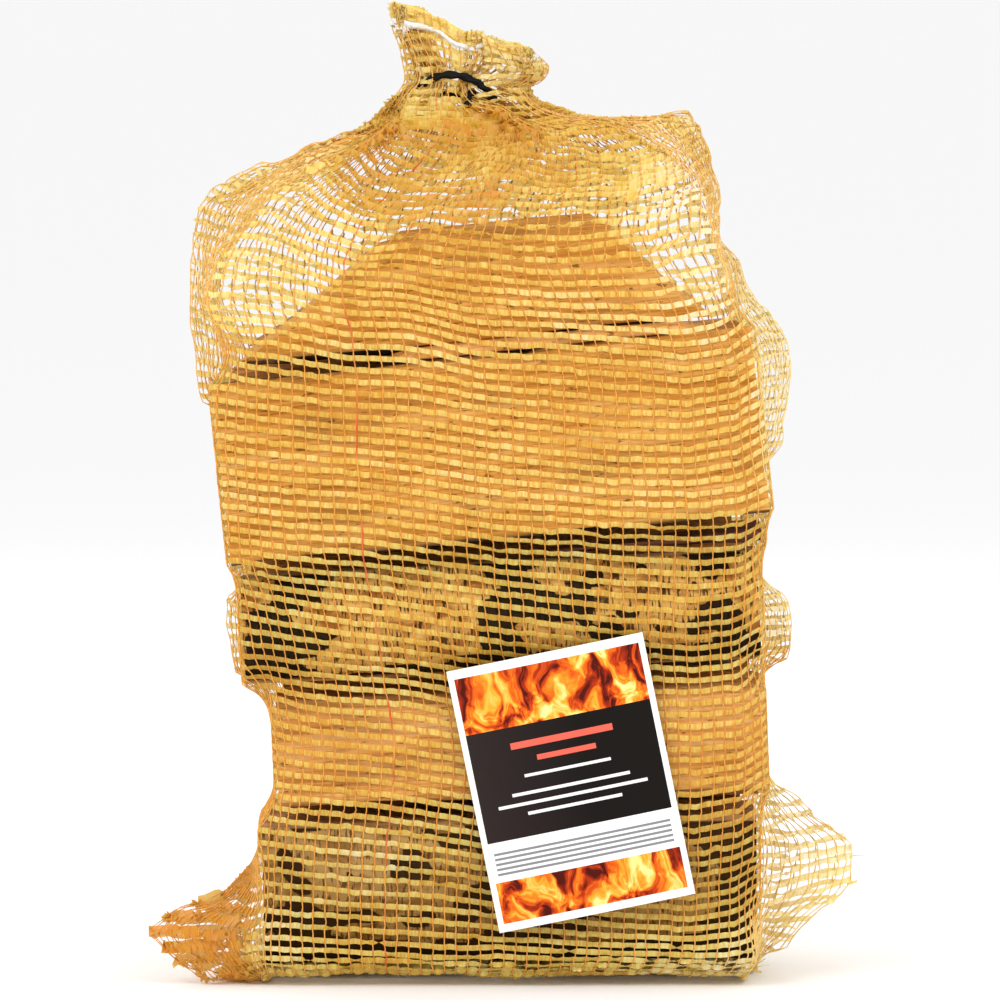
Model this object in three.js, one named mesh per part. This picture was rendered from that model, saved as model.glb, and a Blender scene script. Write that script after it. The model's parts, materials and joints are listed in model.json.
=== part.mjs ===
// A bundle of split firewood in a knitted net bag, tied at the neck, with a card on its front.
// Millimetres, +Z up. The bag stands on its flat bottom, the front faces -Y, and the logs lie along X.
// The origin is the middle of the footprint, at the level of the surface the bag stands on.
import * as THREE from "three";

// The bag
const BAG_WALL = 2;
const BAG_CORNER = 7; // how far a corner of the bag's outline is cut back along each side
const FOLD_TIP = 2; // the same at the tip of a fold
const FOLD_ROOT = 0.12; // where the two sheets of a fold meet, as a share of its reach
const FOLD_HALF = 9; // half the width of a fold there

// The logs
const BARK_STEPS = 7; // flat strips round the bark of one log
const LOG_STATIONS = 5; // outlines along one log

// The strings
const TIE_RADIUS = 1.5;
const TIE_CLIMB = 4.4; // the tie rises this much from its start to its end
const TIE_LIFT = 5; // and stands this much higher at the middle of the front
const STRING_RADIUS = 1.2;
const FIT = 0.5; // clear space between a string and the bag
const CORNER_ROOM = 2.5; // how far the corners of a hoop stand out of the oval that a string takes
const STRING_DROP = 5; // the drawstring lies this far below the edge of the mouth

// The card
const CARD_WIDTH = 100;
const CARD_HEIGHT = 134;
const CARD_THICKNESS = 0.5;
const CARD_CENTRE = new THREE.Vector3(35.5, -104.3, 104);
const CARD_TILT = 11.5; // degrees, its right side higher
const CARD_BOW = 1.6; // how far the two upright edges bend back towards the bag

const COLOURS = {
  net: "#e8b04a",
  string: "#f2efe8",
  tie: "#17161a",
  card: "#241a19",
  pale: "#d9a86c",
  tan: "#c98f52",
  birch: "#cdbb9c",
  dark: "#5d4636",
};

// Hoops of the bag from the bottom up to the mouth. Each hoop runs round the load and out to a fold on
// its left and on its right. The heights are of its middle and of the tips of its two folds.
const HOOPS = [
  { z: [0, 0, 0], folds: [-132, 130], sides: [-119, 124], depth: [-92, 92], foldY: [-62, -34] },
  { z: [8, 6, 8], folds: [-153, 137], sides: [-123, 133], depth: [-101, 106], foldY: [-80, -36] },
  { z: [18, 17, 19], folds: [-172, 144], sides: [-124, 134], depth: [-103, 107], foldY: [-86, -40] },
  { z: [28, 27, 32], folds: [-182, 157], sides: [-124, 134], depth: [-103.5, 107.5], foldY: [-86, -46] },
  { z: [38, 37, 48], folds: [-166, 177], sides: [-124, 134], depth: [-103.5, 107.5], foldY: [-78, -50] },
  { z: [52, 50, 60], folds: [-132, 181], sides: [-124, 135], depth: [-103.5, 107.5], foldY: [-60, -50] },
  { z: [68, 66, 70], folds: [-128, 180], sides: [-124, 136], depth: [-103.5, 107.5], foldY: [-34, -44] },
  { z: [84, 84, 84], folds: [-126, 158], sides: [-123, 136], depth: [-103.5, 107.5], foldY: [-16, -28] },
  { z: [98, 98, 97], folds: [-121, 141], sides: [-118, 138], depth: [-103.5, 107.5], foldY: [-8, -12] },
  { z: [122, 122, 122], folds: [-119, 140], sides: [-117, 137], depth: [-103.5, 107.5], foldY: [0, 0] },
  { z: [136, 136, 136], folds: [-121, 140], sides: [-119, 137], depth: [-103.5, 107.5], foldY: [0, 0] },
  { z: [147, 147, 147], folds: [-135, 141], sides: [-132.5, 137], depth: [-103.5, 107.5], foldY: [0, 2] },
  { z: [160, 160, 160], folds: [-137, 142], sides: [-134.5, 137], depth: [-103.5, 107.5], foldY: [0, 4] },
  { z: [180, 180, 180], folds: [-138, 146], sides: [-135, 136], depth: [-103.5, 107.5], foldY: [-4, 6] },
  { z: [205, 205, 205], folds: [-141, 142], sides: [-139.5, 139.5], depth: [-106.5, 107.5], foldY: [0, 4] },
  { z: [236, 236, 236], folds: [-144, 144], sides: [-142, 141], depth: [-106.5, 107.5], foldY: [0, 4] },
  { z: [272, 272, 272], folds: [-148, 144], sides: [-146, 139], depth: [-106, 107.5], foldY: [4, 8] },
  { z: [306, 306, 304], folds: [-153, 149], sides: [-149, 138], depth: [-106, 107], foldY: [6, 10] },
  { z: [324, 326, 324], folds: [-156, 146], sides: [-149, 135], depth: [-106, 106], foldY: [8, 10] },
  { z: [344, 348, 348], folds: [-158, 131], sides: [-147, 124], depth: [-104, 104], foldY: [8, 8] },
  { z: [366, 370, 372], folds: [-157, 112], sides: [-142, 108], depth: [-98, 98], foldY: [6, 6] },
  { z: [388, 389, 396], folds: [-152, 108], sides: [-126, 105], depth: [-88, 84], foldY: [4, 4] },
  { z: [404, 402, 414], folds: [-130, 104], sides: [-100, 99], depth: [-68, 62], foldY: [3, 3] },
  { z: [418, 415, 429], folds: [-102, 100], sides: [-74, 86], depth: [-48, 43], foldY: [2, 2] },
  { z: [428, 426, 436], folds: [-80, 95], sides: [-56, 64], depth: [-34, 31], foldY: [0, 1] },
  { z: [434, 435, 433], folds: [-64, 50], sides: [-48, 28], depth: [-26, 24], foldY: [0, 0] },
  { z: [440, 443, 439], folds: [-56, 22], sides: [-44, 8], depth: [-19, 18], foldY: [0, 0] },
  { z: [446, 448, 445], folds: [-48, 5], sides: [-41, -4], depth: [-13, 13], foldY: [0, 0] },
  { z: [451, 452, 450], folds: [-45, -1], sides: [-37, -9], depth: [-11, 11], foldY: [0, 0] },
  { z: [459, 460, 458], folds: [-47, 5], sides: [-37, -6], depth: [-11.5, 12], foldY: [0, 0] },
  { z: [467, 470, 464], folds: [-50, 16], sides: [-41, 2], depth: [-15, 15], foldY: [0, 0] },
  { z: [477, 482, 470], folds: [-56, 18], sides: [-46, 7], depth: [-19, 19], foldY: [-2, 0] },
  { z: [486, 494, 478], folds: [-59, 17], sides: [-47, 7], depth: [-23, 22], foldY: [-4, 0] },
];
const TIED_HOOP = 28;
const TIP_PLACE = 3; // a fold's tip is the fourth corner of each half of a hoop

// Each log: its two ends along X, its tilt (right end up) and turn in degrees, how much its outline grows
// towards the right end, the corners of its outline as [y, z], anticlockwise with Y to the right, and the
// side that is bark (from that corner to the next) with the height of its arc. slant says how far the left
// and the right end lean in for each millimetre of height; a slanted log doesn't grow.
const LOGS = [
  {
    name: "log_bottom_front", ends: [-119, 129], tilt: 0.6, turn: 0, taper: 0.03, colour: "birch",
    corners: [[-14, 86], [-98, 84], [-22, 6]], bark: [1, 24],
  },
  {
    name: "log_bottom_back", ends: [-118, 126], tilt: 2.4, turn: -0.6, taper: -0.03, colour: "dark",
    corners: [[-6, 76], [-11, 9], [88, 79]], bark: [1, 24],
  },
  {
    name: "log_lower_front", ends: [-112, 132], tilt: 2, turn: 0, taper: 0.02, colour: "pale",
    corners: [[-98, 94], [-10, 96], [-30, 151], [-97, 146]], bark: [1, 8],
  },
  {
    name: "log_lower_back", ends: [-111, 130], tilt: 2.6, turn: 0.6, taper: 0.03, colour: "tan",
    corners: [[4, 82], [98, 84], [44, 150]], bark: [1, 15],
  },
  {
    name: "log_birch_front", ends: [-129, 130], tilt: 3, turn: 0, taper: 0.02, colour: "birch",
    corners: [[-20, 209], [-85, 214], [-85, 157], [-17, 163]], bark: [1, 15],
  },
  {
    name: "log_middle_core", ends: [-124, 128], tilt: 3.6, turn: 0.8, taper: -0.04, colour: "tan",
    corners: [[-6, 160], [33, 159], [34, 220], [-7, 218]], bark: [1, 3],
  },
  {
    name: "log_middle_back", ends: [-127, 122], tilt: 3.6, turn: -0.6, taper: 0.03, colour: "dark",
    corners: [[44, 159], [88, 156], [88, 220], [43, 221]], bark: [1, 12],
  },
  {
    name: "log_sliver_front", ends: [20, 131], tilt: 5, turn: 1, taper: 0.8, colour: "dark",
    corners: [[-88, 220], [-50, 222], [-60, 227], [-92, 225]], bark: [0, 0.6],
  },
  {
    name: "log_wide_front", ends: [-140, 131], tilt: 6, turn: 0, taper: 0.02, colour: "pale",
    corners: [[-102, 224], [-98, 320]], bark: [0, 50],
  },
  {
    name: "log_upper_core", ends: [-132, 127], tilt: 5.4, turn: 0.8, taper: -0.02, colour: "tan",
    corners: [[-41, 319], [-43, 233], [0, 229], [8, 320]], bark: [2, 12],
  },
  {
    name: "log_upper_back", ends: [-135, 124], tilt: 5.6, turn: -0.5, taper: 0.03, colour: "birch",
    corners: [[29, 231], [91, 234], [89, 315], [34, 319]], bark: [1, 10],
  },
  {
    name: "log_top_front", ends: [-138, 104], tilt: 5.6, turn: 0.5, taper: 0, slant: [1.45, 0.9],
    corners: [[-93, 324.5], [-26, 328], [-36, 382], [-80, 373]], bark: [1, 8], colour: "pale",
  },
  {
    name: "log_top_core", ends: [-131, 98], tilt: 5.2, turn: -0.8, taper: 0, slant: [1.35, 0.9],
    corners: [[-11, 328], [44, 326], [-5, 374]], bark: [1, 12], colour: "dark",
  },
  {
    name: "log_top_back", ends: [-124, 96], tilt: 5.4, turn: 0.5, taper: 0, slant: [1.5, 1],
    corners: [[53, 324], [90, 323], [58, 360]], bark: [1, 9], colour: "tan",
  },
];

const radians = THREE.MathUtils.degToRad;

function material(colour, roughness) {
  return new THREE.MeshStandardMaterial({ color: COLOURS[colour], roughness, metalness: 0 });
}

function solid(vertices, triangles) {
  const geometry = new THREE.BufferGeometry();
  const numbers = vertices.flatMap((v) => [v.x, v.y, v.z]);
  geometry.setAttribute("position", new THREE.Float32BufferAttribute(numbers, 3));
  geometry.setIndex(triangles.flat());
  geometry.computeVertexNormals();
  return geometry;
}

// Two triangles for each step round a pair of neighbouring rings of the same size.
function band(lower, upper, size) {
  const triangles = [];
  for (let i = 0; i < size; i += 1) {
    const j = (i + 1) % size;
    triangles.push([lower + i, lower + j, upper + j], [lower + i, upper + j, upper + i]);
  }
  return triangles;
}

// A fan from the middle point to one ring.
function fan(middle, ring, size) {
  return Array.from({ length: size }, (_, i) => [middle, ring + ((i + 1) % size), ring + i]);
}

const turned = (triangles) => triangles.map(([a, b, c]) => [a, c, b]);

// ---- Logs ----

// The points of an arc over the side from start to end, which bulges to the right of that way.
function barkArc(start, end, height) {
  const half = start.distanceTo(end) / 2;
  const radius = (half * half + height * height) / (2 * height);
  const outward = new THREE.Vector2(end.y - start.y, start.x - end.x).normalize();
  const centre = start.clone().lerp(end, 0.5).addScaledVector(outward, height - radius);
  const corner = Math.asin(Math.min(1, half / radius));
  const reach = height > radius ? Math.PI - corner : corner;
  const steps = Array.from({ length: BARK_STEPS - 1 }, (_, k) => (2 * reach * (k + 1)) / BARK_STEPS);
  return steps.map((angle) => start.clone().rotateAround(centre, angle));
}

// The outline of a log in its own plane, with the bark side as an arc.
function logOutline(corners, [barkSide, barkHeight]) {
  const points = corners.map(([y, z]) => new THREE.Vector2(y, z));
  const next = points[(barkSide + 1) % points.length];
  points.splice(barkSide + 1, 0, ...barkArc(points[barkSide], next, barkHeight));
  return points;
}

function middleOf(outline) {
  const sum = outline.reduce((total, point) => total.add(point), new THREE.Vector2());
  return sum.divideScalar(outline.length);
}

function makeLog({ name, ends, corners, bark, tilt, turn, taper, slant = [0, 0], colour }) {
  const outline = logOutline(corners, bark);
  const middle = middleOf(outline);
  const lowest = Math.min(...outline.map((point) => point.y));
  const size = outline.length;
  const half = (ends[1] - ends[0]) / 2;
  const endsAt = (height) => [slant[0] * (height - lowest) - half, half - slant[1] * (height - lowest)];
  const vertices = [];
  const triangles = [];
  for (let station = 0; station < LOG_STATIONS; station += 1) {
    const share = station / (LOG_STATIONS - 1);
    const grow = 1 + taper * (share - 0.5);
    for (const point of outline) {
      const x = THREE.MathUtils.lerp(...endsAt(point.y), share);
      const y = (point.x - middle.x) * grow;
      const z = (point.y - middle.y) * grow;
      vertices.push(new THREE.Vector3(x, y, z));
    }
    if (station > 0) triangles.push(...band((station - 1) * size, station * size, size));
  }
  const last = (LOG_STATIONS - 1) * size;
  vertices.push(...endsAt(middle.y).map((x) => new THREE.Vector3(x, 0, 0)));
  triangles.push(...fan(last + size, 0, size));
  triangles.push(...turned(fan(last + size + 1, last, size)));
  const log = new THREE.Mesh(solid(vertices, triangles), material(colour, 0.85));
  log.name = name;
  log.position.set((ends[0] + ends[1]) / 2, middle.x, middle.y);
  log.rotation.set(0, -radians(tilt), radians(turn));
  return log;
}

// ---- Bag ----

// The corners of one hoop, in order round it as seen from above: the front, the right fold, the back
// and the left fold.
function hoopCorners({ z, folds, sides, depth, foldY }) {
  const [middle, left, right] = z;
  const half = Math.min(FOLD_HALF, 0.3 * (depth[1] - depth[0]));
  const fold = (side, height, order) => {
    const rootX = THREE.MathUtils.lerp(sides[side], folds[side], FOLD_ROOT);
    const rootZ = THREE.MathUtils.lerp(middle, height, FOLD_ROOT);
    return [
      new THREE.Vector3(rootX, foldY[side] - half * order, rootZ),
      new THREE.Vector3(folds[side], foldY[side], height),
      new THREE.Vector3(rootX, foldY[side] + half * order, rootZ),
    ];
  };
  return [
    new THREE.Vector3(sides[0], depth[0], middle),
    new THREE.Vector3(sides[1], depth[0], middle),
    ...fold(1, right, 1),
    new THREE.Vector3(sides[1], depth[1], middle),
    new THREE.Vector3(sides[0], depth[1], middle),
    ...fold(0, left, -1),
  ];
}

// Every corner is cut back to two points, so that the bag bends round the load instead of creasing.
function hoop(shape) {
  const corners = hoopCorners(shape);
  return corners.flatMap((corner, i) => {
    const before = corners[(i + corners.length - 1) % corners.length];
    const after = corners[(i + 1) % corners.length];
    const most = i % 5 === TIP_PLACE ? FOLD_TIP : BAG_CORNER;
    return [before, after].map((other) => {
      const cut = Math.min(most, 0.35 * corner.distanceTo(other));
      return corner.clone().lerp(other, cut / corner.distanceTo(other));
    });
  });
}

function makeBag() {
  const rings = HOOPS.map(hoop);
  const size = rings[0].length;
  const outside = rings.flat();
  const last = (rings.length - 1) * size;
  const foot = outside.length;
  outside.push(new THREE.Vector3(0, 0, 0));
  const skin = fan(foot, 0, size);
  for (let k = 1; k < rings.length; k += 1) skin.push(...band((k - 1) * size, k * size, size));
  const normals = solid(outside, skin).getAttribute("normal");
  const inside = outside.map((point, i) => {
    const normal = new THREE.Vector3().fromBufferAttribute(normals, i);
    return point.clone().addScaledVector(normal, -BAG_WALL);
  });
  const shift = outside.length;
  const lining = turned(skin).map((triangle) => triangle.map((i) => i + shift));
  const rim = band(last, last + shift, size);
  const shell = solid([...outside, ...inside], [...skin, ...rim, ...lining]);
  const bag = new THREE.Mesh(shell, material("net", 0.45));
  bag.name = "net_bag";
  return bag;
}

// ---- Strings and card ----

// A round string along a curve, closed at both ends.
function makeString(name, points, radius, steps, colour) {
  const curve = new THREE.CatmullRomCurve3(points);
  const section = new THREE.Shape().absarc(0, 0, radius, 0, 2 * Math.PI);
  const geometry = new THREE.ExtrudeGeometry(section, { extrudePath: curve, steps, curveSegments: 4 });
  const mesh = new THREE.Mesh(geometry, material(colour, 0.5));
  mesh.name = name;
  return mesh;
}

// Points round a hoop at a given distance outside it, from one share of the way round to another.
function roundHoop(shape, clear, from, to, count, climb, lift) {
  const { z, folds, depth } = shape;
  const centre = new THREE.Vector3((folds[0] + folds[1]) / 2, (depth[0] + depth[1]) / 2, z[0]);
  const halfWidth = (folds[1] - folds[0]) / 2 + clear;
  const halfDepth = (depth[1] - depth[0]) / 2 + clear;
  return Array.from({ length: count }, (_, i) => {
    const share = from + ((to - from) * i) / (count - 1);
    const angle = 2 * Math.PI * share;
    const across = Math.cos(angle);
    const slope = across < 0 ? z[0] - z[1] : z[2] - z[0];
    return new THREE.Vector3(
      centre.x + halfWidth * across,
      centre.y + halfDepth * Math.sin(angle),
      centre.z + slope * across + climb * (share - (from + to) / 2) + lift * Math.max(0, -Math.sin(angle)),
    );
  });
}

function makeTie() {
  const neck = HOOPS[TIED_HOOP];
  const points = roundHoop(neck, TIE_RADIUS + FIT + CORNER_ROOM, -0.52, 0.72, 26, TIE_CLIMB, TIE_LIFT);
  const first = points[0];
  const last = points[points.length - 1];
  const startTail = [new THREE.Vector3(first.x - 5, first.y - 10, first.z - 4)];
  const endTail = [
    new THREE.Vector3(last.x + 7, last.y - 5, last.z - 4),
    new THREE.Vector3(last.x + 12, last.y - 9, last.z - 12),
  ];
  return makeString("neck_tie", [...startTail, ...points, ...endTail], TIE_RADIUS, 60, "tie");
}

function makeDrawstring() {
  const mouth = HOOPS[HOOPS.length - 1];
  const points = roundHoop(mouth, STRING_RADIUS + FIT + CORNER_ROOM, -0.72, 0.25, 30, 0, 0);
  points.forEach((point) => point.setZ(point.z - STRING_DROP));
  return makeString("drawstring", points, STRING_RADIUS, 60, "string");
}

function makeCard() {
  const geometry = new THREE.BoxGeometry(CARD_WIDTH, CARD_THICKNESS, CARD_HEIGHT, 10, 1, 1);
  const position = geometry.getAttribute("position");
  for (let i = 0; i < position.count; i += 1) {
    const share = (2 * position.getX(i)) / CARD_WIDTH;
    position.setY(i, position.getY(i) - CARD_BOW * (1 - share * share));
  }
  geometry.computeVertexNormals();
  const card = new THREE.Mesh(geometry, material("card", 0.4));
  card.name = "label_card";
  card.position.copy(CARD_CENTRE);
  card.rotation.y = -radians(CARD_TILT);
  return card;
}

const bundle = new THREE.Group();
bundle.add(...LOGS.map(makeLog), makeBag(), makeDrawstring(), makeTie(), makeCard());

export default bundle;
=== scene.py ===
import json
import math

import bpy
import numpy as np
from mathutils import Matrix, Vector

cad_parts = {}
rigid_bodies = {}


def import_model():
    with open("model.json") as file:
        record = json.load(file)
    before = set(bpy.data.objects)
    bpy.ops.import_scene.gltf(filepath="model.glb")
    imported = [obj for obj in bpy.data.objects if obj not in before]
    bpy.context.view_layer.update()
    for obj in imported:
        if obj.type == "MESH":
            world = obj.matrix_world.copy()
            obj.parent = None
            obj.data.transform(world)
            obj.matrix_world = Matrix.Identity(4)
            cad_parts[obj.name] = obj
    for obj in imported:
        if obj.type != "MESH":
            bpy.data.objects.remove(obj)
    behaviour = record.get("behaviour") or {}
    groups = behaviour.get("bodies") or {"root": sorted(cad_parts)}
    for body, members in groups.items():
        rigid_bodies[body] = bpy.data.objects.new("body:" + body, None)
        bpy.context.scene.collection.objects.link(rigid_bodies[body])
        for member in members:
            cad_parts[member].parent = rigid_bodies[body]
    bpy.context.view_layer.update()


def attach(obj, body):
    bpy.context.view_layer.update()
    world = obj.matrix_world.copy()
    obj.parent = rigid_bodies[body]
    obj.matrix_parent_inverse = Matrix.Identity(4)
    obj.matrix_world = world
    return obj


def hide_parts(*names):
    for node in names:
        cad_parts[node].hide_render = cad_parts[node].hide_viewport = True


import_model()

# The bundle is worked out in millimetres: X to the right, the front towards -Y, Z up.
MM = 0.001

# The net: flat tapes lie across, and chains of stitches hold them together upright.
SIDE_CELLS = 18  # chains from a fold to the nearest upright edge of the load
FACE_CELLS = 43  # chains across the front, and across the back
HALF_CELLS = 2 * SIDE_CELLS + FACE_CELLS
CHAINS = 2 * HALF_CELLS
ROW_PITCH = 5.85
TAPE_WIDTH = 2.95
TAPE_PINCH = 0.1  # share of its width that a tape loses under a chain
TAPE_STEPS = 4  # steps along a tape in one mesh
HEM_ROWS = np.array([0.1, 0.3, 0.75, 1.05, 1.3])  # the hem's second layer, in rows below the mouth
CHAIN_RADIUS = 0.37
CHAIN_STEPS = 3  # steps along a chain in one row
MARKER_X = -67  # where the red chain runs
FOLD_ROOT = 0.12  # how far out a fold's root lies, as a share of the fold's reach
FOLD_HALF = 9  # half the width of a fold at its root, at the bottom corners
BULGE_HALF = 34  # the same higher up, where the sides bulge
BULGE_HEIGHT = 140  # where the corners end and the bulges begin
NECK_X = -15  # the middle of the gathered top

# How the net is drawn tight on the load
NET_ROOM = 1.3  # how far the net stays off the logs
DRAPE_STEPS = 46
PUSH_STEPS = 28  # how many of those also push the net in
PUSH = 0.55
LOWEST_NET = 2.4
LOWEST_TAPE = 0.3
LOWEST_FRAY = 1.2

# Hoops of the net from the seam under the load up to the mouth: heights of the middle and of the left
# and right folds, the folds' reach, the load's sides, its front and back, and the folds' depth.
HOOPS = [
    ((1.5, 1.5, 1.5), (-128, 126), (-112, 116), (-1, 1), (-24, -16)),
    ((0.8, 1, 1), (-130, 128), (-116, 120), (-46, 46), (-44, -26)),
    ((0.8, 1, 1), (-132, 130), (-119, 124), (-90, 92), (-62, -34)),
    ((8, 6, 8), (-153, 137), (-123, 133), (-101, 106), (-80, -36)),
    ((18, 17, 19), (-170, 144), (-124, 134), (-103, 107), (-86, -40)),
    ((28, 27, 32), (-180, 157), (-124, 134), (-103.5, 107.5), (-86, -46)),
    ((38, 37, 48), (-166, 177), (-124, 134), (-103.5, 107.5), (-78, -50)),
    ((52, 50, 60), (-132, 180), (-124, 135), (-103.5, 107.5), (-60, -50)),
    ((68, 66, 70), (-128, 180), (-124, 136), (-103.5, 107.5), (-34, -44)),
    ((84, 84, 84), (-126, 158), (-123, 136), (-103.5, 107.5), (-16, -28)),
    ((98, 98, 97), (-121, 141), (-118, 138), (-103.5, 107.5), (-8, -12)),
    ((122, 122, 122), (-119, 140), (-117, 137), (-103.5, 107.5), (0, 0)),
    ((136, 136, 136), (-121, 140), (-119, 137), (-103.5, 107.5), (0, 0)),
    ((147, 147, 147), (-134, 141), (-126, 137), (-103.5, 107.5), (0, 2)),
    ((160, 160, 160), (-138, 146), (-126, 137), (-103.5, 107.5), (0, 4)),
    ((180, 180, 178), (-139, 146), (-127, 134), (-103.5, 107.5), (-4, 6)),
    ((205, 205, 205), (-141, 142), (-139.5, 139.5), (-106.5, 107.5), (0, 4)),
    ((236, 236, 236), (-144, 144), (-142, 141), (-106.5, 107.5), (0, 4)),
    ((272, 272, 272), (-149, 144), (-143, 135), (-106, 107.5), (4, 8)),
    ((306, 306, 304), (-154, 149), (-142, 136), (-106, 107), (6, 10)),
    ((324, 326, 324), (-157, 146), (-142, 133), (-106, 106), (8, 10)),
    ((344, 348, 348), (-158, 131), (-147, 124), (-104, 104), (8, 8)),
    ((366, 370, 372), (-157, 112), (-142, 108), (-98, 98), (6, 6)),
    ((388, 389, 396), (-152, 108), (-126, 105), (-88, 84), (4, 4)),
    ((404, 402, 414), (-130, 104), (-100, 99), (-68, 62), (3, 3)),
    ((418, 415, 429), (-102, 100), (-74, 86), (-48, 43), (2, 2)),
    ((428, 426, 436), (-80, 95), (-56, 64), (-34, 31), (0, 1)),
    ((434, 435, 433), (-64, 50), (-48, 28), (-26, 24), (0, 0)),
    ((440, 443, 439), (-56, 22), (-44, 8), (-19, 18), (0, 0)),
    ((446, 448, 445), (-48, 5), (-41, -4), (-13, 13), (0, 0)),
    ((451, 452, 450), (-45, -1), (-37, -9), (-11, 11), (0, 0)),
    ((459, 460, 458), (-47, 8), (-37, -3), (-11.5, 12), (0, 0)),
    ((467, 470, 464), (-50, 14), (-41, 3), (-15, 15), (0, 0)),
    ((477, 482, 470), (-56, 15), (-46, 7), (-19, 19), (-2, 0)),
    ((486, 494, 478), (-59, 14), (-47, 7), (-23, 22), (-4, 0)),
]

TIE_HEIGHT = 451
TIE_RADIUS = 1.9
STRING_HALF = 1.3  # half the width of the drawstring
STRING_THICK = 0.5
LOBES = [(0.185, 0.024), (0.325, 0.021), (0.6, 0.02), (0.74, 0.02), (0.9, 0.02)]  # middle and half width

# The logs: ends along X, tilt and turn in degrees, taper, corners of the outline as (y, z), the side that
# is bark and the height of its arc, the wood, and, where the ends are sawn at a slant, how far the left and
# the right end lean in with each millimetre of height.
LOGS = [
    ("log_bottom_front", (-119, 129), 0.6, 0, 0.03, ((-14, 86), (-98, 84), (-22, 6)), (1, 24), "grey"),
    ("log_bottom_back", (-118, 126), 2.4, -0.6, -0.03, ((-6, 76), (-11, 9), (88, 79)), (1, 24), "dark"),
    ("log_lower_front", (-112, 132), 2, 0, 0.02, ((-98, 94), (-10, 96), (-30, 151), (-97, 146)), (1, 8),
     "fresh"),
    ("log_lower_back", (-111, 130), 2.6, 0.6, 0.03, ((4, 82), (98, 84), (44, 150)), (1, 15), "tan"),
    ("log_birch_front", (-129, 130), 3, 0, 0.02, ((-20, 209), (-85, 214), (-85, 157), (-17, 163)), (1, 15),
     "birch"),
    ("log_middle_core", (-124, 128), 3.6, 0.8, -0.04, ((-6, 160), (33, 159), (34, 220), (-7, 218)), (1, 3),
     "tan"),
    ("log_middle_back", (-127, 122), 3.6, -0.6, 0.03, ((44, 159), (88, 156), (88, 220), (43, 221)), (1, 12),
     "dark"),
    # The sliver's nearly black wood fills the gap under the wide log and stands in for the shade there:
    # painted shade.
    ("log_sliver_front", (20, 131), 5, 1, 0.8, ((-88, 220), (-50, 222), (-60, 227), (-92, 225)), (0, 0.6),
     "plum"),
    ("log_wide_front", (-140, 131), 6, 0, 0.02, ((-102, 224), (-98, 320)), (0, 50), "pale"),
    ("log_upper_core", (-132, 127), 5.4, 0.8, -0.02, ((-41, 319), (-43, 233), (0, 229), (8, 320)), (2, 12),
     "tan"),
    ("log_upper_back", (-135, 124), 5.6, -0.5, 0.03, ((29, 231), (91, 234), (89, 315), (34, 319)), (1, 10),
     "birch"),
    ("log_top_front", (-138, 104), 5.6, 0.5, 0, ((-93, 324.5), (-26, 328), (-36, 382), (-80, 373)), (1, 8),
     "pale", (1.45, 0.9)),
    ("log_top_core", (-131, 98), 5.2, -0.8, 0, ((-11, 328), (44, 326), (-5, 374)), (1, 12),
     "dark", (1.35, 0.9)),
    ("log_top_back", (-124, 96), 5.4, 0.5, 0, ((53, 324), (90, 323), (58, 360)), (1, 9),
     "tan", (1.5, 1)),
]
CAD_BARK_STEPS = 7
LOG_GRID = 2.7  # distance between the points on a log's skin

# The card
CARD_WIDTH = 100
CARD_HEIGHT = 134
CARD_CENTRE = (35.5, -104.3, 104)
CARD_TILT = 11.5
CARD_BOW = 1.6
CARD_THICK = 0.5


# ---- Numbers ----


def noise(points, seed):
    """Smooth noise from -1 to 1 at each of the points, with one swell to a unit of length."""
    lattice = np.random.default_rng(seed).uniform(-1, 1, (32, 32, 32))
    base = np.floor(points).astype(int)
    share = points - base
    share = share * share * (3 - 2 * share)
    total = np.zeros(points.shape[:-1])
    for corner in np.ndindex(2, 2, 2):
        place = (base + corner) % 32
        weight = np.prod(np.where(corner, share, 1 - share), axis=-1)
        total += weight * lattice[place[..., 0], place[..., 1], place[..., 2]]
    return total


def joined(*parts):
    """Vectors from their parts. A part may be a single number."""
    return np.stack(np.broadcast_arrays(*parts), axis=-1)


def grain_noise(along, around, length, width, seed):
    """Noise drawn out along the grain: its swells are length by width."""
    return noise(joined(along / length, around / width, 0.5), seed)


def ramp(value, low, high):
    """0 below low, 1 above high, and a soft step between them."""
    share = np.clip((value - low) / (high - low), 0, 1)
    return share * share * (3 - 2 * share)


def hump(value, low, full, still, high):
    """0 below low, 1 from full to still, and 0 above high."""
    return ramp(value, low, full) * (1 - ramp(value, still, high))


def unit(vectors):
    return vectors / np.maximum(np.linalg.norm(vectors, axis=-1, keepdims=True), 1e-9)


def resampled(points, count):
    """count points at even distances along a line, with its last point left out."""
    steps = np.linalg.norm(np.diff(points[:, :3], axis=0), axis=1)
    distance = np.concatenate([[0], np.cumsum(steps)])
    at = distance[-1] * np.arange(count) / count
    return np.stack([np.interp(at, distance, column) for column in points.T], axis=1)


# ---- Meshes ----


def mesh_piece(name, vertices, faces, finish, facts=None, smooth=True):
    """A piece from vertices in millimetres and faces. facts are extra numbers kept at each vertex."""
    mesh = bpy.data.meshes.new(name)
    mesh.from_pydata((np.asarray(vertices) * MM).tolist(), [], faces)
    for key, values in (facts or {}).items():
        values = np.asarray(values, np.float32)
        kind, field = ("FLOAT", "value") if values.ndim == 1 else ("FLOAT_VECTOR", "vector")
        mesh.attributes.new(key, kind, "POINT").data.foreach_set(field, values.ravel())
    mesh.polygons.foreach_set("use_smooth", [smooth] * len(mesh.polygons))
    mesh.materials.append(finish)
    mesh.update()
    piece = bpy.data.objects.new(name, mesh)
    bpy.context.scene.collection.objects.link(piece)
    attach(piece, "root")
    return piece


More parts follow.
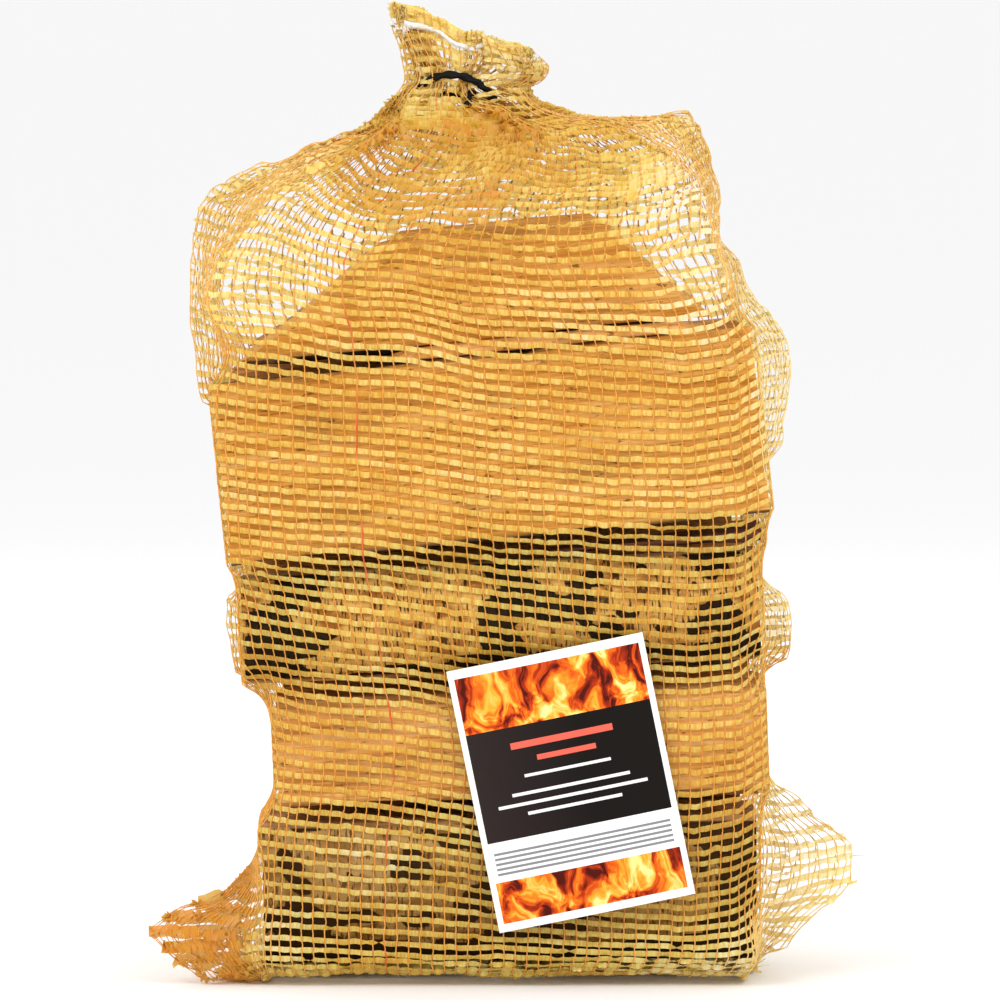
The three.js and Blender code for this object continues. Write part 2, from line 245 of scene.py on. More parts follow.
def grid_faces(rows, columns, start=0, closed=False):
    """Four-sided faces over rows of points. With closed, each row runs round to its first point."""
    wide = columns if closed else columns - 1
    row, column = np.meshgrid(np.arange(rows - 1), np.arange(wide), indexing="ij")
    after = (column + 1) % columns
    corners = [row * columns + column, row * columns + after]
    corners += [(row + 1) * columns + after, (row + 1) * columns + column]
    return (np.stack(corners, axis=-1).reshape(-1, 4) + start).tolist()


def strip_faces(strips, rows, columns, closed=False):
    """Faces of equal strips that follow each other, each with that many rows and columns of points."""
    strip = np.array(grid_faces(rows, columns, closed=closed))
    return (strip[None] + (np.arange(strips) * rows * columns)[:, None, None]).reshape(-1, 4).tolist()


def slab_faces(rows, columns):
    """Faces of a thin slab, whose back points follow its front points: front, back and rim."""
    count = rows * columns
    faces = grid_faces(rows, columns)
    faces += [[i + count for i in face[::-1]] for face in faces]
    rim = list(range(columns)) + [columns - 1 + columns * k for k in range(1, rows)]
    rim += list(range(count - 2, count - columns - 1, -1)) + [columns * k for k in range(rows - 2, 0, -1)]
    return faces + [[b, a, a + count, b + count] for a, b in zip(rim, rim[1:] + rim[:1])]


# ---- Finishes ----


class Wire:
    """What comes out of a node. Sums with it add Math nodes."""

    def __init__(self, finish, socket):
        self.finish = finish
        self.socket = socket

    def maths(self, operation, first, second):
        return self.finish.node("Math", {"operation": operation}, {0: first, 1: second})

    def __add__(self, other):
        return self.maths("ADD", self, other)

    __radd__ = __add__

    def __sub__(self, other):
        return self.maths("SUBTRACT", self, other)

    def __rsub__(self, other):
        return self.maths("SUBTRACT", other, self)

    def __mul__(self, other):
        return self.maths("MULTIPLY", self, other)

    __rmul__ = __mul__

    def __gt__(self, other):
        return self.maths("GREATER_THAN", self, other)


class Finish:
    """One material and short ways to add nodes to it."""

    def __init__(self, name):
        self.material = bpy.data.materials.new(name)
        self.material.use_nodes = True
        self.tree = self.material.node_tree
        self.tree.nodes.clear()

    def node(self, kind, settings=None, sockets=None, out=0):
        made = self.tree.nodes.new("ShaderNode" + kind)
        for key, value in (settings or {}).items():
            if key == "stops":
                self.set_stops(made.color_ramp, value)
            else:
                setattr(made, key, value)
        for key, value in (sockets or {}).items():
            if isinstance(value, Wire):
                self.tree.links.new(value.socket, made.inputs[key])
            else:
                made.inputs[key].default_value = value
        return Wire(self, made.outputs[out]) if made.outputs else None

    def set_stops(self, colour_ramp, stops):
        while len(colour_ramp.elements) < len(stops):
            colour_ramp.elements.new(1)
        for element, (place, colour) in zip(colour_ramp.elements, stops):
            element.position = place
            element.color = (*colour, 1)

    def fact(self, name, part=None):
        """A number, a vector, or one part of a vector, kept at the vertices."""
        kept = self.node("Attribute", {"attribute_name": name}, out="Fac" if part is None else "Vector")
        if part is None or part == "vector":
            return kept
        return self.node("SeparateXYZ", None, {0: kept}, out=part)

    def stretched(self, vector, scale):
        return self.node("VectorMath", {"operation": "MULTIPLY"}, {0: vector, 1: scale})

    def cloud(self, vector, scale, detail=3, rough=0.55, warp=0):
        """Noise from 0 to 1. scale is one number, or one for each direction of the vector."""
        place = self.stretched(vector, scale if isinstance(scale, tuple) else (scale,) * 3)
        facts = {"Vector": place, "Scale": 1, "Detail": detail, "Roughness": rough, "Distortion": warp}
        return self.node("TexNoise", {"noise_dimensions": "3D"}, facts)

    def step(self, value, low, high):
        """0 below low and 1 above high, softly."""
        facts = {"Value": value, "From Min": low, "From Max": high}
        return self.node("MapRange", {"interpolation_type": "SMOOTHSTEP"}, facts)

    def colours(self, value, stops):
        return self.node("ValToRGB", {"stops": stops}, {0: value})

    def mix(self, share, first, second, blend="MIX"):
        def as_colour(value):
            return value if isinstance(value, Wire) else (*value, 1)

        facts = {0: share, 6: as_colour(first), 7: as_colour(second)}
        return self.node("Mix", {"data_type": "RGBA", "blend_type": blend}, facts, out=2)

    def bump(self, height, strength, distance):
        return self.node("Bump", None, {"Strength": strength, "Distance": distance, "Height": height})

    def principled(self, **sockets):
        return self.node("BsdfPrincipled", None, {k.replace("_", " "): v for k, v in sockets.items()})

    def done(self, shader):
        self.node("OutputMaterial", None, {0: shader})
        return self.material


def wood_finish(kind):
    """Split faces along the grain, sawn ends with rings, and bark, told apart by the facts on the log."""
    light, middle, deep = SPLIT_COLOURS[kind]
    f = Finish("wood_" + kind)
    grain = f.fact("grain", "vector")
    bark = f.fact("skin", "X")
    end = f.fact("skin", "Y")
    streak = f.cloud(grain, (0.02, 0.5, 0), 5, 0.65)
    broad = f.cloud(grain, (0.008, 0.07, 0), 2)
    fibre = f.cloud(grain, (0.03, 1.6, 0), 2)
    split = f.colours(streak * 0.55 + broad * 0.45, [(0.34, deep), (0.5, middle), (0.64, light)])
    split = f.mix(f.step(fibre, 0.56, 0.7) * 0.55, split, tuple(0.55 * c for c in deep))
    stain = f.cloud(grain, (0.018, 0.055, 0), 4, 0.6, 0.4)
    split = f.mix(f.step(stain, 0.52, 0.66) * 0.6, split, tuple(0.5 * c + 0.02 for c in middle))
    speck = f.cloud(grain, (0.12, 0.36, 0), 3, 0.6)
    split = f.mix(f.step(speck, 0.6, 0.68) * 0.75, split, tuple(0.3 * c for c in deep))
    rings = f.node("Math", {"operation": "SINE"}, {0: f.fact("grain", "Z") * 2.6 + broad * 5})
    sawn = f.mix(rings * 0.3 + 0.5, tuple(0.8 * c for c in middle), light)
    sawn = f.mix(f.step(f.cloud(grain, 0.06, 4, 0.7, 1.2), 0.6, 0.68) * 0.6, sawn, (0.12, 0.07, 0.04))
    skin, skin_height = bark_paint(f, kind, grain)
    colour = f.mix(end, f.mix(bark, split, skin), sawn)
    height = f.cloud(grain, (0.05, 1.1, 0), 4, 0.7) * (1 - bark) + skin_height * bark
    normal = f.bump(height, 0.55, 0.0012)
    shader = f.principled(Base_Color=colour, Roughness=0.82, Specular_IOR_Level=0.12, Normal=normal)
    return f.done(shader)


def bark_paint(f, kind, grain):
    """The colour and the height of the bark."""
    if kind in ("birch", "grey"):
        pale, brown, black = BIRCH_COLOURS[kind]
        scuff = f.cloud(grain, (0.05, 0.09, 0), 4, 0.6)
        dashes = f.cloud(grain, (0.7, 0.11, 0), 2, 0.5)
        scars_and_shade = f.fact("skin", "Z") * 0.8 + f.cloud(grain, (0.06, 0.09, 0), 5, 0.7, 0.6) * 0.4
        skin = f.mix(f.step(scuff, 0.42, 0.62), pale, brown)
        skin = f.mix(f.step(dashes, 0.54, 0.62) * 0.88, skin, black)
        # the scars, and the painted shade under the log, take a third of the dark marks' colour
        skin = f.mix(f.step(scars_and_shade, 0.44, 0.56) * 0.97, skin, tuple(0.3 * c for c in black))
        return skin, scuff * 0.6 + dashes * 0.4
    furrow = f.cloud(grain, (0.035, 0.2, 0), 5, 0.7, 0.4)
    skin = f.colours(furrow, [(0.32, BARK_COLOURS[kind][0]), (0.66, BARK_COLOURS[kind][1])])
    return skin, furrow


SPLIT_COLOURS = {  # light, middle and deep
    "pale": ((0.76, 0.46, 0.16), (0.66, 0.31, 0.058), (0.40, 0.15, 0.02)),
    "fresh": ((0.84, 0.54, 0.26), (0.74, 0.38, 0.11), (0.44, 0.17, 0.03)),
    "tan": ((0.66, 0.33, 0.11), (0.50, 0.21, 0.055), (0.27, 0.10, 0.025)),
    "dark": ((0.56, 0.30, 0.12), (0.40, 0.19, 0.065), (0.22, 0.09, 0.03)),
    "birch": ((0.76, 0.48, 0.24), (0.60, 0.33, 0.13), (0.38, 0.18, 0.06)),
    "grey": ((0.66, 0.40, 0.19), (0.52, 0.28, 0.11), (0.32, 0.15, 0.05)),
    # nearly black wood for the sliver in the gap, painted shade
    "plum": ((0.36, 0.15, 0.09), (0.22, 0.08, 0.05), (0.09, 0.03, 0.02)),
}
# The dark marks, at a third of their colour, also paint the shade under the birch logs.
BIRCH_COLOURS = {  # pale skin, brown skin and dark marks
    "birch": ((0.64, 0.38, 0.105), (0.34, 0.13, 0.024), (0.02, 0.009, 0.003)),
    "grey": ((0.44, 0.27, 0.095), (0.25, 0.125, 0.03), (0.10, 0.04, 0.009)),
}
BARK_COLOURS = {  # furrow and ridge
    "pale": ((0.05, 0.03, 0.018), (0.24, 0.15, 0.09)),
    "fresh": ((0.05, 0.03, 0.018), (0.24, 0.15, 0.09)),
    "tan": ((0.05, 0.025, 0.012), (0.22, 0.12, 0.06)),
    "dark": ((0.02, 0.012, 0.008), (0.12, 0.075, 0.045)),
    # nearly black bark for the sliver in the gap, painted shade
    "plum": ((0.02, 0.008, 0.008), (0.15, 0.06, 0.05)),
}


def tape_finish():
    """Glossy see-through plastic tape, with painted highlights: its colour is lighter or darker in every mesh
    of the net, after the glint fact and the creases, up to near white.
    """
    f = Finish("net_tape")
    glint = f.fact("glint")
    weave = f.fact("weave", "vector")
    crease = f.cloud(weave, (1.1, 0.12, 1), 3, 0.6)
    # Painted highlights: the glint fact and the fine creases lighten the base colour in patches and streaks;
    # the lowest stop is the darker orange of the left bottom corner.
    value = glint * 0.45 + (crease - 0.5) * 1.1 + 0.27
    colour = f.colours(value, [
        (0.06, (0.68, 0.24, 0.005)), (0.28, (0.62, 0.33, 0.026)), (0.44, (0.74, 0.51, 0.08)),
        (0.6, (0.84, 0.68, 0.17)), (0.76, (0.93, 0.82, 0.38)), (0.96, (1.0, 0.96, 0.74)),
    ])
    normal = f.bump(crease, 0.5, 0.0006)
    film = f.principled(Base_Color=colour, Roughness=0.3, Alpha=0.92, Normal=normal)
    glow = f.node("BsdfTranslucent", None, {"Color": (1.0, 0.74, 0.18, 1)})
    return f.done(f.node("MixShader", None, {0: 0.35, 1: film, 2: glow}))


def thread_finish(name, dark, light, scale):
    """Twisted thread, with a painted highlight that makes it yellower where the net's tapes are painted pale.
    """
    f = Finish(name)
    twist = f.cloud(f.node("TexCoord", None, None, out="Object"), (scale, scale, scale / 2), 3)
    colour = f.mix(f.step(twist, 0.35, 0.65), dark, light)
    # painted highlight
    colour = f.mix(f.fact("pale"), colour, (0.93, 0.70, 0.24))
    return f.done(f.principled(Base_Color=colour, Roughness=0.5))


# ---- Logs ----


class Log:
    """One log: where it lies, its outline and how near a point is to it."""

    def __init__(self, name, ends, tilt, turn, taper, corners, bark, kind, slant=(0, 0)):
        self.name = name
        self.kind = kind
        self.slant = np.array(slant)
        self.half = (ends[1] - ends[0]) / 2
        self.taper = taper
        self.corners = np.array(corners, float)
        self.bark = bark
        plain, _ = self.outline(CAD_BARK_STEPS, None)
        self.middle = plain.mean(axis=0)
        self.lowest = plain[:, 1].min() - self.middle[1]
        self.origin = np.array([sum(ends) / 2, *self.middle])
        swing = Matrix.Rotation(-math.radians(tilt), 3, "Y") @ Matrix.Rotation(math.radians(turn), 3, "Z")
        self.axes = np.array(swing)
        side = np.roll(plain, -1, axis=0) - plain
        self.normals = unit(joined(side[:, 1], -side[:, 0]))
        self.offsets = ((plain - self.middle) * self.normals).sum(axis=1)
        self.reach = 1.1 * np.abs(plain - self.middle).max()

    def outline(self, bark_steps, spacing):
        """The outline's points, anticlockwise, and which of them are bark."""
        points, is_bark = [], []
        count = len(self.corners)
        for i, start in enumerate(self.corners):
            end = self.corners[(i + 1) % count]
            if i == self.bark[0]:
                stretch = self.bark_arc(start, end, bark_steps or self.steps(start, end, 1.3 * spacing))
            elif spacing:
                share = np.arange(self.steps(start, end, spacing))[:, None]
                stretch = start + (end - start) * share / len(share)
            else:
                stretch = start[None]
            points.append(stretch)
            is_bark += [i == self.bark[0]] * len(stretch)
        return np.concatenate(points), np.array(is_bark, float)

    def steps(self, start, end, spacing):
        return max(2, round(math.dist(start, end) / spacing))

    def bark_arc(self, start, end, steps):
        chord = end - start
        half = math.hypot(*chord) / 2
        height = self.bark[1]
        radius = (half**2 + height**2) / (2 * height)
        outward = np.array([chord[1], -chord[0]]) / (2 * half)
        centre = (start + end) / 2 + outward * (height - radius)
        self.heart = centre
        corner = math.asin(min(1, half / radius))
        reach = math.pi - corner if height > radius else corner
        angle = 2 * reach * np.arange(steps) / steps
        arm = start - centre
        across = np.cos(angle) * arm[0] - np.sin(angle) * arm[1]
        up = np.sin(angle) * arm[0] + np.cos(angle) * arm[1]
        return centre + joined(across, up)

    def placed(self, local):
        return local @ self.axes.T + self.origin

    def past_ends(self, local):
        """How far points lie beyond the left and the right end."""
        lean = self.slant * (local[:, 2:] - self.lowest)
        return (local[:, :1] * (-1, 1) - self.half + lean) / np.hypot(1, self.slant)

    def push_out(self, points, outward, room):
        """Moves points that are nearer than room out of the log, by a side that faces as they do."""
        local = (points - self.origin) @ self.axes
        reach = self.reach + room
        near = (np.abs(local[:, 0]) < self.half + room) & (np.abs(local[:, 1:]).max(axis=1) < reach)
        if not near.any():
            return
        some = local[near]
        facing = outward[near] @ self.axes
        grow = 1 + self.taper * some[:, 0] / (2 * self.half)
        away = some[:, 1:] @ self.normals.T - self.offsets * grow[:, None]
        beyond = self.past_ends(some)
        ways = unit(np.array([[-1, 0, self.slant[0]], [1, 0, self.slant[1]]]))
        touching = np.maximum(away.max(axis=1), beyond.max(axis=1)) < room
        away = np.where(facing[:, 1:] @ self.normals.T > 0.3, away, -np.inf)
        beyond = np.where(facing @ ways.T > 0.3, beyond, -np.inf)
        nearest = away.argmax(axis=1)
        side = away.max(axis=1)
        nearest_end = beyond.argmax(axis=1)
        end = beyond.max(axis=1)
        by_side = touching & (side >= end) & np.isfinite(side)
        by_end = touching & (side < end)
        some[by_side, 1:] += self.normals[nearest[by_side]] * (room - side[by_side])[:, None]
        some[by_end] += ways[nearest_end[by_end]] * (room - end[by_end])[:, None]
        points[near] = self.placed(some)


def split_relief(along, around, seed):
    """Torn fibres: long ridges, fine splinters and a slow wave."""
    wave = 1.5 * grain_noise(along, around, 85, 26, seed)
    ridge = 0.9 * grain_noise(along, around, 60, 6, seed + 1)
    fine = 0.45 * grain_noise(along, around, 32, 2.4, seed + 2)
    tear = np.abs(grain_noise(along, around, 140, 9, seed + 3))
    return wave + ridge + fine - 1.6 * ramp(0.12 - tear, 0, 0.12)


def bark_relief(along, around, kind, seed):
    """Furrows in rough bark, or soft swellings and curled lips in birch bark."""
    if kind in ("birch", "grey"):
        swell = grain_noise(along, around, 34, 22, seed)
        lip = grain_noise(along, around, 7, 24, seed + 1)
        return 0.9 * swell + 0.7 * ramp(lip, 0.3, 0.5)
    furrow = np.abs(grain_noise(along, around, 46, 8, seed))
    return 1.1 * grain_noise(along, around, 24, 14, seed + 1) - 2.2 * ramp(0.3 - furrow, 0, 0.3)


def scar_and_underside_shade(along, around, up, seed):
    """Where the pale skin of birch is gone: three broad places, and smaller ones by chance. The underside is
    darkened the same way, as painted shade."""
    torn = 0.8 * grain_noise(along, around, 24, 15, seed + 4)
    torn = torn + 0.5 * grain_noise(along, around, 8, 6, seed + 5)
    for middle, reach in ((-108, 18), (3, 20), (112, 16)):
        torn = torn + 0.75 * np.exp(-(((along - middle) / reach) ** 2))
    # the underside term is painted shade
    return ramp(torn + 0.9 * ramp(-up, 15, 25), 0.34, 0.52)


def make_log(log, seed, finish):
    outline, is_bark = log.outline(None, LOG_GRID)
    outline = outline - log.middle
    for _ in range(3):
        outline = 0.5 * outline + 0.25 * (np.roll(outline, 1, axis=0) + np.roll(outline, -1, axis=0))
    step = np.roll(outline, -1, axis=0) - np.roll(outline, 1, axis=0)
    outward = unit(joined(step[:, 1], -step[:, 0]))
    around = np.concatenate([[0], np.cumsum(np.linalg.norm(np.diff(outline, axis=0), axis=1))])
    stations = max(12, round(2 * log.half / (1.15 * LOG_GRID)))
    share = np.linspace(0, 1, stations)[:, None]
    uneven = noise(np.append(outline / 13, 0 * outline[:, :1] + seed, axis=1), seed) + 0.4
    lean = log.slant[:, None] * (outline[:, 1] - log.lowest + 4.5 * uneven)
    along = (1 - share) * (lean[0] - log.half) + share * (log.half - lean[1])
    around_all = np.broadcast_to(around, along.shape)
    bark = np.broadcast_to(is_bark, along.shape)
    relief = np.where(
        bark > 0.5, bark_relief(along, around_all, log.kind, seed), split_relief(along, around_all, seed)
    )
    relief = np.minimum(relief - 0.5, 0.7)
    grow = 1 + log.taper * (share[..., None] - 0.5)
    ring = outline[None] * grow + outward[None] * relief[..., None]
    skin = np.concatenate([along[..., None], ring], axis=-1)
    count = len(outline)
    vertices = [skin.reshape(-1, 3)]
    grain = [joined(along, around_all, 0).reshape(-1, 3)]
    kind = [joined(bark, 0, scar_and_underside_shade(along, around_all, ring[..., 1], seed)).reshape(-1, 3)]
    faces = grid_faces(stations, count, closed=True)
    start = stations * count
    for end, way in ((0, -1), (stations - 1, 1)):
        cap, cap_faces = end_face(skin[end], way, start, seed)
        radius = np.linalg.norm(cap[:, 1:] + log.middle - log.heart, axis=1)
        vertices.append(cap)
        grain.append(joined(cap[:, 1], cap[:, 2], radius))
        kind.append(np.tile([0, 1, 0], (len(cap), 1)))
        faces += cap_faces
        start += len(cap)
    facts = {"grain": np.concatenate(grain), "skin": np.concatenate(kind)}
    points = log.placed(np.concatenate(vertices))
    piece = mesh_piece(log.name + "_wood", points, faces, finish, facts)
    piece.data.set_sharp_from_angle(angle=math.radians(50))
    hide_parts(log.name)


def end_face(edge, way, start, seed):
    """A sawn end: rings of points from the edge in to the middle, with the saw's faint waves."""
    shares = np.linspace(1, 0, 9)[:-1]
    middle = edge.mean(axis=0)
    rings = middle + (edge - middle)[None] * shares[:, None, None]
    rings[..., 0] += 0.25 * noise(rings * (0, 0.25, 0.05), seed + 7) * (shares < 1)[:, None]
    rings = np.concatenate([rings.reshape(-1, 3), middle[None]])
    count = len(edge)
    faces = grid_faces(len(shares), count, start, closed=True)
    last = start + (len(shares) - 1) * count
    tip = start + len(shares) * count
    faces += [[last + i, last + (i + 1) % count, tip] for i in range(count)]
    if way < 0:
        return rings, faces
    return rings, [face[::-1] for face in faces]


# Flakes that lie between the layers; the dark bark flakes fill the gaps there as painted shade: middle,
# length, width, tilt, the wood, and 1 for bark or 0 for split wood.
FLAKES = [
    ("bark_flake_upper", (-22, 2, 319.6), 216, 34, 5.4, "dark", 1),
    ("bark_flake_lower", (62, 42, 151.8), 128, 30, 3, "dark", 1),
    ("split_flake_upper", (24, -86, 323.9), 156, 20, 5.8, "fresh", 0),
]
FLAKE_THICKNESS = 6.5


def make_flake(name, middle, length, width, tilt, kind, bark, finish, seed):
    """A curled flake with a torn edge."""
    rows, columns = round(length / 3), 13
    u, v = np.meshgrid(np.linspace(-1, 1, columns), np.linspace(-1, 1, rows))
    along = v * length / 2
    edge = 1 + 0.3 * noise(joined(along / 17, np.sign(u) * 3, 0.5), seed)
    across = u * edge * (1 - 0.5 * ramp(np.abs(v), 0.75, 1)) * width / 2
    curl = 1.5 * (1 - u**2) + 0.9 * grain_noise(along, across, 30, 9, seed + 1)
    thick = FLAKE_THICKNESS * (0.25 + 0.75 * (1 - u**4) * (1 - v**8)) / 2
    top = joined(along, across, curl + thick).reshape(-1, 3)
    bottom = joined(along, across, curl - thick).reshape(-1, 3)
    faces = [face[::-1] for face in slab_faces(rows, columns)]
    swing = np.array(Matrix.Rotation(-math.radians(tilt), 3, "Y"))
    points = np.concatenate([top, bottom]) @ swing.T + middle
    grain = joined(along, across, 0).reshape(-1, 3)
    facts = {"grain": np.concatenate([grain, grain]), "skin": np.tile([bark, 0, 0], (len(points), 1))}
    mesh_piece(name, points, faces, finish, facts)


# ---- The net's surface ----


def hoop_line(heights, folds, sides, depth, fold_depth):
    """Points round one hoop from the left fold by the front, with a last number that says how much of
    the point belongs to a loose fold."""
    half = min(FOLD_HALF if heights[0] < BULGE_HEIGHT else BULGE_HALF, 0.3 * (depth[1] - depth[0]))

    def fold(side, height, order):
        root_x = sides[side] + FOLD_ROOT * (folds[side] - sides[side])
        root_z = heights[0] + FOLD_ROOT * (height - heights[0])
        loose = float(ramp(abs(folds[side] - sides[side]), 4, 12))
        y = fold_depth[side]
        root = [(root_x, y + way * half * order, root_z, 0.5 * loose) for way in (-1, 1)]
        return root[0], (folds[side], y, height, loose), root[1]

    left = fold(0, heights[1], -1)
    right = fold(1, heights[2], 1)
    front = [(x, depth[0], heights[0], 0) for x in sides]
    back = [(x, depth[1], heights[0], 0) for x in sides[::-1]]
    stretches = [
        ((left[1], left[2], front[0]), SIDE_CELLS),
        ((front[0], front[1]), FACE_CELLS),
        ((front[1], right[0], right[1]), SIDE_CELLS),
        ((right[1], right[2], back[0]), SIDE_CELLS),
        ((back[0], back[1]), FACE_CELLS),
        ((back[1], left[0], left[1]), SIDE_CELLS),
    ]
    return np.concatenate([resampled(np.array(line, float), 2 * cells) for line, cells in stretches])


def normals_of(surface):
    across = np.roll(surface, -1, axis=1) - np.roll(surface, 1, axis=1)
    up = np.gradient(surface, axis=0)
    return unit(np.cross(across, up))


def softened(surface, share):
    """Moves each point towards the middle of its four neighbours."""
    padded = np.concatenate([surface[:1], surface, surface[-1:]])
    middle = padded[:-2] + padded[2:] + np.roll(surface, 1, axis=1) + np.roll(surface, -1, axis=1)
    return surface + share * (middle / 4 - surface)


def clear_logs(surface, logs, room):
    points = surface.reshape(-1, 3).copy()
    outward = normals_of(surface).reshape(-1, 3)
    for log in logs:
        log.push_out(points, outward, room)
    return points.reshape(surface.shape)


def net_surface(logs):
    """The net drawn tight round the load, with its loose folds, its shoulders and its gathered neck."""
    hoops = np.stack([hoop_line(*row) for row in HOOPS])
    face = slice(2 * SIDE_CELLS, 2 * (SIDE_CELLS + FACE_CELLS))
    rise = np.linalg.norm(np.diff(hoops[:, face, :3], axis=0), axis=2).mean(axis=1)
    height = np.concatenate([[0], np.cumsum(rise)])
    rows = round(height[-1] / ROW_PITCH)
    at = height[-1] * np.arange(2 * rows + 1) / (2 * rows)
    flat = hoops.reshape(len(hoops), -1)
    surface = np.stack([np.interp(at, height, column) for column in flat.T], axis=1)
    surface = surface.reshape(len(at), -1, 4)
    surface = softened(surface, 0.7)
    loose = surface[..., 3]
    surface = surface[..., :3]
    surface = pleated(surface)
    x, z = surface[..., 0], surface[..., 2]
    height = z + 48 * ramp(-x, 35, 115) + 22 * ramp(x, 55, 100)
    tight = (1 - ramp(height, 352, 384)) * (1 - ramp(loose, 0.1, 0.6))
    tight = (tight * (0.3 + 0.7 * ramp(surface[..., 2], 10, 50)))[..., None]
    for step in range(DRAPE_STEPS):
        push = PUSH if step < PUSH_STEPS else 0
        surface = surface - push * tight * normals_of(surface)
        surface = surface + tight * (softened(softened(surface, 0.6), 0.6) - surface)
        surface = clear_logs(surface, logs, NET_ROOM)
    surface = crumpled(surface, 1 - tight[..., 0])
    surface = clear_logs(surface, logs, NET_ROOM)
    surface[..., 2] = np.maximum(surface[..., 2], LOWEST_NET)
    return surface, 1 - tight[..., 0], rows


def lobes(share):
    """1 on the broad folds that stay flat where the net is gathered, and 0 in the tucks between them."""
    total = np.zeros_like(share)
    for middle, width in LOBES:
        away = np.abs((share - middle + 0.5) % 1 - 0.5)
        total += 1 - ramp(away, 0.7 * width, 1.3 * width)
    return total


def gathered(surface):
    """Draws the net in towards the neck: the lobes keep their width, and the tucks take up the rest."""
    count = surface.shape[1]
    step = np.linalg.norm(np.roll(surface, -1, axis=1) - surface, axis=2)
    girth = step.sum(axis=1)
    full = np.percentile(girth, 80)
    share = np.arange(count) / count
    flat = lobes(share)
    part = flat.mean()
    made = surface.copy()
    for row in np.flatnonzero(surface[:, :, 2].mean(axis=1) > 372):
        room = girth[row] / full
        wide = min(1, 0.72 * room / part)
        narrow = max((room - part * wide) / (1 - part), 0.004)
        density = flat * wide + (1 - flat) * narrow
        place = np.concatenate([[0], np.cumsum(density)])[:-1] / density.sum()
        place = place - np.interp(0.5, share, place) + 0.5
        at = place * count
        line = sampled(surface, np.full(count, float(min(row, len(surface) - 1.001))), at)
        made[row] = line
    return made, np.maximum(1 - girth / full, 0)


def pleated(surface):
    """The tucks run inwards, with finer creases in them."""
    surface, spare = gathered(surface)
    share = np.linspace(0, 1, surface.shape[1], endpoint=False)[None] * np.ones((len(surface), 1))
    row = np.linspace(0, 1, len(surface))[:, None] * np.ones_like(share)
    depth = surface[..., 1].max(axis=1) - surface[..., 1].min(axis=1)
    tuck = np.minimum(9, 0.4 * depth) * ramp(spare, 0.35, 0.85)
    wander = noise(joined(share * 7, row * 6, 0.5), 3)
    crease = np.sin(2 * np.pi * 34 * share + 2.4 * wander)
    inward = (1 - lobes(share)) * (0.62 + 0.38 * crease) + 0.12 * crease
    swell = 3.4 * np.sin(2 * np.pi * 8 * share + 4 * wander) * ramp(spare, 0.08, 0.3)[:, None]
    swell = swell * (1 - ramp(spare, 0.6, 0.8)[:, None])
    made = surface + (swell - inward * tuck[:, None])[..., None] * level_out(surface)
    return slumped(made)


def level_out(surface):
    """The way straight out from the middle of each hoop, along the level."""
    across = np.roll(surface, -1, axis=1) - np.roll(surface, 1, axis=1)
    return unit(joined(across[..., 1], -across[..., 0], 0))


def slumped(surface):
    """The mouth falls away to the right, and the net hangs over the tie at both sides of the neck."""
    x, z = surface[..., 0], surface[..., 2]
    top = z[-1]
    wanted = np.interp(x[-1], [-58, -29, -21, -8, 0, 15], [493, 487, 480, 477, 472, 469])
    above = np.maximum(z - TIE_HEIGHT, 0)
    surface[..., 2] = z - above * ((top - wanted) / (top - TIE_HEIGHT))[None]
    near = np.exp(-(((z - TIE_HEIGHT) / 13) ** 2))
    surface[..., 0] += near * (17 * ramp(x, -14, -3) - 4 * ramp(-x, 34, 44))
    return surface


def crumpled(surface, loose):
    """Small waves, which are larger where the net hangs loose."""
    near = noise(surface / (16, 16, 22), 11)
    wide = noise(surface / (34, 34, 46), 12)
    fine = noise(surface / 8, 13)
    x, z = surface[..., 0], surface[..., 2]
    shoulder = hump(z, 315, 345, 410, 440)
    corner = ramp(np.abs(x), 128, 145) * (1 - ramp(z, 60, 85))
    loose = loose * (1 + 0.7 * shoulder + 1.2 * corner)
    shift = (0.25 + 1.6 * loose) * near + (0.2 + 2.2 * loose) * wide + 0.9 * loose * fine
    return surface + shift[..., None] * normals_of(surface)


def sampled(surface, row, column):
    """Points on the net's surface at any row and column of its grid."""
    rows, columns = surface.shape[:2]
    row = np.clip(row, 0, rows - 1.001)
    low, left = np.floor(row).astype(int), np.floor(column).astype(int)
    up, along = (row - low)[..., None], (column - left)[..., None]
    left, right = left % columns, (left + 1) % columns
    below = surface[low, left] * (1 - along) + surface[low, right] * along
    above = surface[low + 1, left] * (1 - along) + surface[low + 1, right] * along
    return below * (1 - up) + above * up


